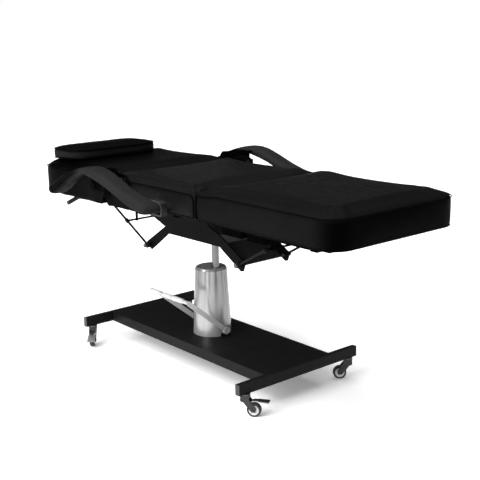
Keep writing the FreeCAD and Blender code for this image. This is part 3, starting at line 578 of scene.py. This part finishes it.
def lathe(name, profile, mat, segments=64, closed=True):
    """Turns [(radius, z), ...] about Z."""
    verts, faces = [], []
    n = len(profile)
    for k in range(segments):
        t = 2 * math.pi * k / segments
        for r, z in profile:
            verts.append((r * math.cos(t), r * math.sin(t), z))
    for k in range(segments):
        j = (k + 1) % segments
        for i in range(n if closed else n - 1):
            i2 = (i + 1) % n
            faces.append((k * n + i, j * n + i, j * n + i2, k * n + i2))
    return mesh_object(name, verts, faces, mat)


def join(objs, name):
    """Joins meshes, keeping each one's material."""
    bpy.ops.object.select_all(action="DESELECT")
    for o in objs:
        o.select_set(True)
    bpy.context.view_layer.objects.active = objs[0]
    bpy.ops.object.join()
    objs[0].name = name
    objs[0].data.name = name
    return objs[0]


# -------------------------------------------------------------- cushions
W = 0.290
BASE, SEAM, TOP = 0.6523, 0.7335, 0.7545
SKIRT, POCKET = 0.6185, 0.2665


def prism(name, outline, z0, z1):
    """A plain upright solid over a plan outline."""
    n = len(outline)
    verts = [(p[0], p[1], z) for z in (z0, z1) for p in outline]
    faces = [tuple(range(n - 1, -1, -1)), tuple(range(n, 2 * n))]
    faces += [(i, (i + 1) % n, n + (i + 1) % n, n + i) for i in range(n)]
    return mesh_object(name, verts, faces, M_VINYL)


def skirt_band(x_from, x_to, z0, z1):
    """The back cushion's hanging side between x_from (head side) and x_to, on both sides."""
    r = 0.220
    ins = 0.0022
    parts = []
    if x_from is None:
        q = math.pi / 2
        outer, inner = [], []
        for k in range(41):
            a = -q - q * k / 40
            outer.append((-0.9075 + r + (r - ins) * math.cos(a), -W + r + (r - ins) * math.sin(a)))
            inner.append((-0.8685 + r - 0.0395 + (r - 0.0395) * math.cos(a),
                          -POCKET + r - 0.0395 + (r - 0.0395) * math.sin(a)))
        outer = [(x_to, -W + ins)] + outer
        inner = [(x_to, -POCKET)] + inner
        outer += [(x, -y) for x, y in reversed(outer)]
        inner += [(x, -y) for x, y in reversed(inner)]
        parts.append(prism("band", outer + inner[::-1], z0, z1))
    else:
        for s_ in (-1, 1):
            parts.append(prism("band", [(x_from, s_ * (W - ins)), (x_to, s_ * (W - ins)), (x_to, s_ * POCKET),
                                        (x_from, s_ * POCKET)], z0, z1))
    return parts


def seam_path(x0, x1, r0, r1, low, open0, open1, drop=0.022):
    """Seam round the side band: along the top edge, and down at each open end."""
    paths = []
    full = rounded_outline(x0 + 0.0012, x1 - 0.0012, W - 0.0012, r0, r1, 0.004)
    if not open0 and not open1:
        return [([(p.x, p.y, SEAM) for p in full], True)]

    def turned(plan):
        """Bends the ends of a path down by a quarter round."""
        dist = [0.0]
        for a, b in zip(plan, plan[1:]):
            dist.append(dist[-1] + (b - a).length)
        total = dist[-1]
        pts = []
        for p, d in zip(plan, dist):
            z = SEAM
            for gap in (d, total - d):
                if gap < drop:
                    z = SEAM - drop + math.sqrt(max(0.0, drop ** 2 - (drop - gap) ** 2))
            pts.append((p.x, p.y, z))
        return pts

    edge0 = x0 + r0 * 0.62
    edge1 = x1 - r1 * 0.62
    if open0 and open1:
        for side in (-1, 1):
            plan = sorted((p for p in full if p.y * side > 0 and abs(p.y) > W - 0.010 and edge0 <= p.x <= edge1),
                          key=lambda p: p.x)
            pts = turned(plan)
            pts = [(pts[0][0], pts[0][1], low)] + pts + [(pts[-1][0], pts[-1][1], low)]
            paths.append((pts, False))
        return paths
    # one end open: from the near open corner round the closed end to the far open corner
    n = len(full)
    keep = [(p.x >= edge0) if open0 else (p.x <= edge1) for p in full]
    start = next(i for i in range(n) if keep[i] and not keep[i - 1])
    plan = []
    i = start
    while keep[i % n] and len(plan) < n:
        plan.append(full[i % n])
        i += 1
    pts = turned(plan)
    pts = [(pts[0][0], pts[0][1], low)] + pts + [(pts[-1][0], pts[-1][1], low)]
    return [(pts, False)]


def droop(x):
    """The foam sinks a little towards the head end."""
    return 0.028 * (max(0.0, -0.62 - x) / 0.29) ** 1.5


def proud(x, y, z):
    """The leg rest's stuffing stands prouder towards the foot, and its rim hangs lower."""
    t = min(1.0, max(0.0, (x - 0.27) / 0.12))
    high = 0.0085 * t * t * (3 - 2 * t) * min(1.0, max(0.0, (z - 0.690) / 0.030))
    rim = max(min(1.0, max(0.0, (abs(y) - 0.262) / 0.012)), min(1.0, max(0.0, (x - 0.866) / 0.014)))
    return high - 0.007 * rim * t * min(1.0, max(0.0, (0.690 - z) / 0.030))


def section(name, node, body, x0, x1, r0, r1, seed, open0=False, open1=False, skirt=False, mat=M_VINYL):
    outline = rounded_outline(x0, x1, W, r0, r1)
    ins = 0.0022
    profile = [(0.010, BASE + 0.0005), (0.004, BASE + 0.002), (ins + 0.001, BASE + 0.006), (ins, BASE + 0.02),
               (ins, SEAM - 0.012), (ins + 0.0005, SEAM - 0.003), (ins + 0.0012, SEAM),
               (ins + 0.0035, SEAM + 0.0065), (0.012, SEAM + 0.0128), (0.022, SEAM + 0.0165),
               (0.040, SEAM + 0.0183), (0.075, SEAM + 0.0188)]
    low = BASE
    if skirt:
        profile = [(ins, BASE + 0.0005)] + profile[3:]
    obj = lofted(name, outline, profile, mat)
    if skirt:
        low = SKIRT
        bands = skirt_band(None, -0.338, SKIRT, BASE + 0.006)
        bands += skirt_band(-0.302, x1, SKIRT, BASE + 0.006)
        bands += skirt_band(-0.345, -0.295, 0.6440, BASE + 0.006)
        obj = join([obj] + bands, name)
    remesh(obj, 0.0080)
    relax(obj, 2)
    grooves = seam_path(x0, x1, r0, r1, low + 0.003, open0, open1)

    def pinned(co):
        if co.z < BASE + 0.004:
            return 1.0
        if abs(co.z - SEAM) < 0.0035 and min(W - abs(co.y), abs(co.x - x0), abs(x1 - co.x)) < 0.03:
            return 1.0
        for xe, r, is_open in ((x0, r0, open0), (x1, r1, open1)):
            if is_open and co.z < SEAM and abs(abs(co.x - xe) - r * 0.62) < 0.004 and W - abs(co.y) < 0.014:
                return 1.0
        return 0.0

    inflate(obj, 0.0065, pinned, 4.0)

    def keep(co):
        return 1.0 if co.z > BASE + 0.01 else 0.0

    ripple(obj, 0.0003, 0.11, seed, keep)
    subdivide(obj, 1)
    # pull the cover in along its seams
    marks = [Vector(p) for path, closed in grooves for p in path]
    tree = kdtree.KDTree(len(marks))
    for i, mk in enumerate(marks):
        tree.insert(mk, i)
    tree.balance()
    inner = min(W, (x1 - x0) / 2) - 0.03
    for v in obj.data.vertices:
        if abs(v.co.y) > W - 0.03 or abs(v.co.x - (x0 + x1) / 2) > (x1 - x0) / 2 - 0.03 or (
                max(r0, r1) > 0.05 and abs(v.co.y) > inner * 0.3):
            near = tree.find_range(v.co, 0.012)
            if near:
                best = min(hit[2] for hit in near)
                v.co -= v.normal * (0.0022 * math.exp(-(best / 0.0048) ** 2))
        v.co.z = max(v.co.z, low)
    if skirt:
        for v in obj.data.vertices:
            v.co.z -= droop(v.co.x) * min(1.0, max(0.0, (v.co.z - 0.680) / 0.060))
            sag = 0.020 * min(1.0, max(0.0, (-0.72 - v.co.x) / 0.14)) * min(1.0, max(0.0, (0.670 - v.co.z) / 0.045))
            wave = 0.0035 * noise.noise(Vector((v.co.x * 13, v.co.y * 6, 3.1)))
            v.co.z += (wave if v.co.x < -0.36 else 0.0) * min(1.0, max(0.0, (0.660 - v.co.z) / 0.04)) - sag
    if node == "leg_cushion":
        for v in obj.data.vertices:
            v.co.z += proud(*v.co)
    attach(obj, body)
    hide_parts(node)
    # the sewn seams, and the closed bottom hem
    for k, (path, closed) in enumerate(grooves):
        if skirt:
            path = [(x, y, z - droop(x) * min(1.0, max(0.0, (z - 0.680) / 0.060))) for x, y, z in path]
        if node == "leg_cushion":
            path = [(x, y, z + proud(x, y, z)) for x, y, z in path]
        cord = tube(name + "_seam_%d" % k, path, 0.0018, M_PIPE, closed)
        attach(cord, body)
    if not skirt:
        line = [(p.x, p.y, BASE + 0.004) for p in rounded_outline(x0 + 0.003, x1 - 0.003, W - 0.003, r0, r1)]
        if node == "leg_cushion":
            line = [(x, y, z + proud(x, y, z)) for x, y, z in line]
        hem = tube(name + "_hem", line, 0.0017, M_PIPE)
        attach(hem, body)
    return obj


seat = section("seat_upholstery", "seat_cushion", "seat", -0.258, 0.2595, 0.020, 0.009, 1, open0=True, open1=True)
backc = section("back_upholstery", "back_cushion", "back", -0.9075, -0.262, 0.220, 0.020, 2, open1=True, skirt=True, mat=M_BACK)
legc = section("leg_upholstery", "leg_cushion", "leg", 0.2605, 0.9075, 0.009, 0.075, 3, open0=True, mat=M_LEG)

# ------------------------------------------------------------ armrest pads
PAD_TOP = [(-0.505, 0.690), (-0.440, 0.721), (-0.374, 0.752), (-0.300, 0.776), (-0.245, 0.789), (-0.195, 0.791),
           (-0.150, 0.783), (-0.092, 0.764), (-0.043, 0.747), (0.000, 0.733), (0.079, 0.712), (0.166, 0.697)]
PAD_LOW = [(-0.488, 0.650), (-0.440, 0.674), (-0.400, 0.697), (-0.360, 0.720), (-0.320, 0.740), (-0.285, 0.755),
           (-0.240, 0.764), (-0.193, 0.757), (-0.106, 0.739), (-0.055, 0.722), (0.000, 0.702), (0.050, 0.683),
           (0.118, 0.669), (0.160, 0.663)]


def smooth_line(points, count):
    """Points spread evenly along a softened polyline."""
    pts = [Vector(p) for p in points]
    for _ in range(3):
        out = [pts[0]]
        for a, b in zip(pts, pts[1:]):
            out += [a.lerp(b, 0.25), a.lerp(b, 0.75)]
        out.append(pts[-1])
        pts = out
    lengths = [0.0]
    for a, b in zip(pts, pts[1:]):
        lengths.append(lengths[-1] + (b - a).length)
    res = []
    for i in range(count):
        d = lengths[-1] * i / (count - 1)
        k = 0
        while k < len(lengths) - 2 and lengths[k + 1] < d:
            k += 1
        seg = lengths[k + 1] - lengths[k]
        res.append(pts[k].lerp(pts[k + 1], (d - lengths[k]) / seg if seg else 0))
    return res


def arm_pad(side):
    tag = "near" if side < 0 else "far"
    n = 90
    top = smooth_line(PAD_TOP, n)
    low = smooth_line(PAD_LOW, n)
    yc = side * (0.342 + 0.430) / 2
    half_y = 0.0430
    verts, faces = [], []
    ring = 40
    for i in range(n):
        t = i / (n - 1)
        mid = (top[i] + low[i]) / 2
        upv = (top[i] - low[i])
        h = upv.length / 2 - 0.0008
        upv.normalize()
        length = 0.70 * min(t, 1 - t)
        end = min(1.0, length / 0.024)
        shrink = math.sqrt(max(0.0, 1 - (1 - end) ** 2)) if end < 1 else 1.0
        shrink = max(shrink, 0.12)
        for k in range(ring):
            a = 2 * math.pi * k / ring
            ca, sa = math.cos(a), math.sin(a)
            e = 2 / 3.2
            px = math.copysign(abs(ca) ** e, ca) * half_y * (0.35 + 0.65 * shrink)
            pz = math.copysign(abs(sa) ** e, sa) * h * shrink
            verts.append((mid.x + upv.x * pz, yc + px, mid.y + upv.y * pz))
    for i in range(n - 1):
        for k in range(ring):
            j = (k + 1) % ring
            faces.append((i * ring + k, i * ring + j, (i + 1) * ring + j, (i + 1) * ring + k))
    faces.append(tuple(range(ring - 1, -1, -1)))
    faces.append(tuple((n - 1) * ring + k for k in range(ring)))
    obj = mesh_object("armrest_pad_" + tag, verts, faces, M_PAD)
    remesh(obj, 0.0060)
    relax(obj, 3)
    lows = low

    def pinned(co):
        p = min(((Vector((co.x, co.z)) - q).length for q in lows[::4]))
        return 1.0 if p < 0.012 and abs(abs(co.y) - abs(yc)) < 0.038 else 0.0

    inflate(obj, 0.004, pinned, 3.0)
    ripple(obj, 0.0005, 0.05, 5 + side)
    subdivide(obj, 1)
    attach(obj, "armrests")
    # seam cords along both lower edges, closing round the ends
    pts = []
    inset = 0.0385
    for i in range(3, n - 3):
        d = (top[i] - low[i]).normalized()
        p = low[i] + d * 0.0075
        pts.append((p.x, yc - inset, p.y))
    for i in range(n - 4, 2, -1):
        d = (top[i] - low[i]).normalized()
        p = low[i] + d * 0.0075
        pts.append((p.x, yc + inset, p.y))
    cord = tube("armrest_seam_" + tag, pts, 0.0018, M_PIPE)
    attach(cord, "armrests")
    return obj


pads = [arm_pad(-1), arm_pad(1)]
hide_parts("armrest_pads")

# ------------------------------------------------------------------ pillow
def pillow():
    cx, cy, hx, hy = -0.687, -0.042, 0.118, 0.209
    n = 150
    outline = []
    for k in range(n):
        a = 2 * math.pi * k / n
        ca, sa = math.cos(a), math.sin(a)
        e = 2 / 4.0
        outline.append(Vector((cx + math.copysign(abs(ca) ** e, ca) * hx,
                               cy + math.copysign(abs(sa) ** e, sa) * hy)))
    low, high = 0.7625, 0.7965
    profile = [(0.022, 0.7562), (0.008, 0.7578), (0.003, low - 0.001), (0.0022, low), (0.0008, low + 0.006),
               (0.0008, high - 0.006), (0.0022, high), (0.005, high + 0.0032), (0.014, high + 0.0060),
               (0.030, high + 0.0080), (0.060, high + 0.0088)]
    obj = lofted("head_pillow", outline, profile, M_PILLOW)
    remesh(obj, 0.0070)
    relax(obj, 2)

    def edge(co):
        return max(abs(co.x - cx) / hx, abs(co.y - cy) / hy)

    def pinned(co):
        near_seam = min(abs(co.z - low), abs(co.z - high)) < 0.0026
        return 1.0 if co.z < 0.758 or (near_seam and edge(co) > 0.86) else 0.0

    inflate(obj, 0.0055, pinned, 5.0, soft=True)
    ripple(obj, 0.0009, 0.09, 9)
    subdivide(obj, 1)
    lines = []
    for z in (low, high):
        pts = []
        m_ = len(outline)
        for k, p in enumerate(outline):
            tg = (outline[(k + 1) % m_] - outline[k - 1]).normalized()
            q = p + Vector((-tg.y, tg.x)) * 0.0018
            pts.append((q.x, q.y, z))
        lines.append(pts)
    for v in obj.data.vertices:
        d = min(abs(v.co.z - low), abs(v.co.z - high))
        if d < 0.010 and edge(v.co) > 0.88:
            v.co -= v.normal * (0.0018 * math.exp(-(d / 0.004) ** 2))
        v.co.z = max(v.co.z, 0.7562)

    def settle(x, z):
        return (0.8 - 0.5 * min(1.0, max(0.0, (z - 0.760) / 0.040))) * droop(x)

    for v in obj.data.vertices:
        v.co.z -= settle(v.co.x, v.co.z)
    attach(obj, "pillow")
    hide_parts("pillow")
    for k, pts in enumerate(lines):
        welt = tube("head_pillow_welt_%d" % k, [(x, y, z - settle(x, z)) for x, y, z in pts], 0.0019, M_PIPE)
        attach(welt, "pillow")
    return obj


head_pillow = pillow()

# ------------------------------------------------------- smaller hard pieces
def ribbed_sleeve(name, x0, length):
    pts = []
    n = int(length / 0.004)
    pts.append((0.00712, 0.0))
    pts.append((0.0088, 0.0))
    for i in range(n):
        z = length * (i + 0.5) / n
        half = length / n / 2
        pts += [(0.0085, z - half * 0.9), (0.0097, z - half * 0.45), (0.0097, z + half * 0.45),
                (0.0085, z + half * 0.9)]
    pts.append((0.0088, length))
    pts.append((0.00712, length))
    obj = lathe(name, pts, M_RUBBER, 40)
    obj.matrix_world = Matrix.Translation((x0, -0.177, 0.289)) @ Matrix.Rotation(math.radians(90), 4, "Y")
    return obj


sleeves = [ribbed_sleeve("pedal_sleeve_%d" % i, x0, length) for i, (x0, length) in
           enumerate(((-0.178, 0.062), (-0.092, 0.046), (-0.036, 0.060)))]
for o in sleeves:
    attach(o, "pedal")
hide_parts("pedal_pads")

# castor wheels: rounded tread with a seam, ribbed pale hub and axle cap
CASTORS = {"front_near": (0.458, -0.248, 38.0), "front_far": (0.458, 0.248, 230.0),
           "rear_near": (-0.518, -0.248, -40.0), "rear_far": (-0.518, 0.248, 150.0)}
for tag, (x, y, turn) in CASTORS.items():
    w = 0.0095
    tread = lathe("tread_" + tag, [(0.0172, -w), (0.0215, -w), (0.0236, -w + 0.0008), (0.0246, -w + 0.0026),
                                   (0.0250, -0.0035), (0.0250, 0.0035), (0.0246, w - 0.0026),
                                   (0.0236, w - 0.0008), (0.0215, w), (0.0172, w)], M_TYRE, 72)
    hub = lathe("hub_" + tag, [(0.0031, -w - 0.0005), (0.0072, -w - 0.0005), (0.0080, -w + 0.0003),
                               (0.0086, -w + 0.0016), (0.0140, -w + 0.0016), (0.0152, -w + 0.0002),
                               (0.0172, -w - 0.0002), (0.0172, w + 0.0002), (0.0152, w - 0.0002),
                               (0.0140, w - 0.0016), (0.0086, w - 0.0016), (0.0080, w - 0.0003),
                               (0.0072, w + 0.0005), (0.0031, w + 0.0005)], M_HUB, 72)
    wheel = join([tread, hub], "castor_wheel_model_" + tag)
    spin = Matrix.Rotation(math.radians(turn), 4, "Z")
    wheel.matrix_world = (Matrix.Translation((x, y, 0)) @ spin @ Matrix.Translation((0.030, 0, 0.025))
                          @ Matrix.Rotation(math.radians(90), 4, "X"))
    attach(wheel, "wheel_" + tag)
    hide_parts("castor_wheel_" + tag)

# ------------------------------------------------------------ floor, lights
def floor():
    me = bpy.data.meshes.new("floor")
    size = 30
    me.from_pydata([(-size, -size, 0), (size, -size, 0), (size, size, 0), (-size, size, 0)], [], [(0, 1, 2, 3)])
    obj = bpy.data.objects.new("floor", me)
    scene.collection.objects.link(obj)
    mat, nt, b = new_mat("pale_floor")
    d = texture(nt, "ShaderNodeTexNoise", 0.8, Detail=2.0)
    col = ramp(nt, d.outputs["Fac"], [(0.3, (0.94, 0.94, 0.94)), (0.7, (0.95, 0.95, 0.95))])
    nt.links.new(col.outputs["Color"], b.inputs["Base Color"])
    b.inputs["Roughness"].default_value = 0.9
    b.inputs["Specular IOR Level"].default_value = 0.1
    b.inputs["Emission Color"].default_value = (1, 1, 1, 1)
    b.inputs["Emission Strength"].default_value = 0.24
    me.materials.append(mat)


floor()
world = bpy.data.worlds.new("studio")
scene.world = world
world.use_nodes = True
wt = world.node_tree
bg = next(n for n in wt.nodes if n.type == "BACKGROUND")
coord = wt.nodes.new("ShaderNodeTexCoord")
sep = wt.nodes.new("ShaderNodeSeparateXYZ")
wt.links.new(coord.outputs["Generated"], sep.inputs["Vector"])
wr = wt.nodes.new("ShaderNodeValToRGB")
wt.links.new(sep.outputs["Z"], wr.inputs["Fac"])
els = wr.color_ramp.elements
els[0].position = 0.035
els[0].color = (1, 1, 1, 1)
els[1].position = 0.10
els[1].color = (0.05, 0.05, 0.05, 1)
wt.links.new(wr.outputs["Color"], bg.inputs["Color"])
bg.inputs["Strength"].default_value = 1.0


def area(name, place, target, size, power, size_y=None):
    data = bpy.data.lights.new(name, "AREA")
    data.shape = "RECTANGLE"
    data.size = size
    data.size_y = size_y or size
    data.energy = power
    obj = bpy.data.objects.new(name, data)
    scene.collection.objects.link(obj)
    obj.location = place
    d = Vector(target) - Vector(place)
    obj.rotation_euler = d.to_track_quat("-Z", "Y").to_euler()
    return obj


sun = bpy.data.lights.new("soft_sun", "SUN")
sun.energy = 4.3
sun.angle = math.radians(70)
sun_obj = bpy.data.objects.new("soft_sun", sun)
scene.collection.objects.link(sun_obj)
sun_obj.rotation_euler = (math.radians(18), math.radians(-10), 0)
area("key_soft", (0.6, -3.6, 2.2), (0, 0, 0.6), 2.6, 150)
area("top_soft", (0.0, 0.4, 3.4), (0, 0, 0.6), 3.0, 40)

bpy.context.view_layer.update()
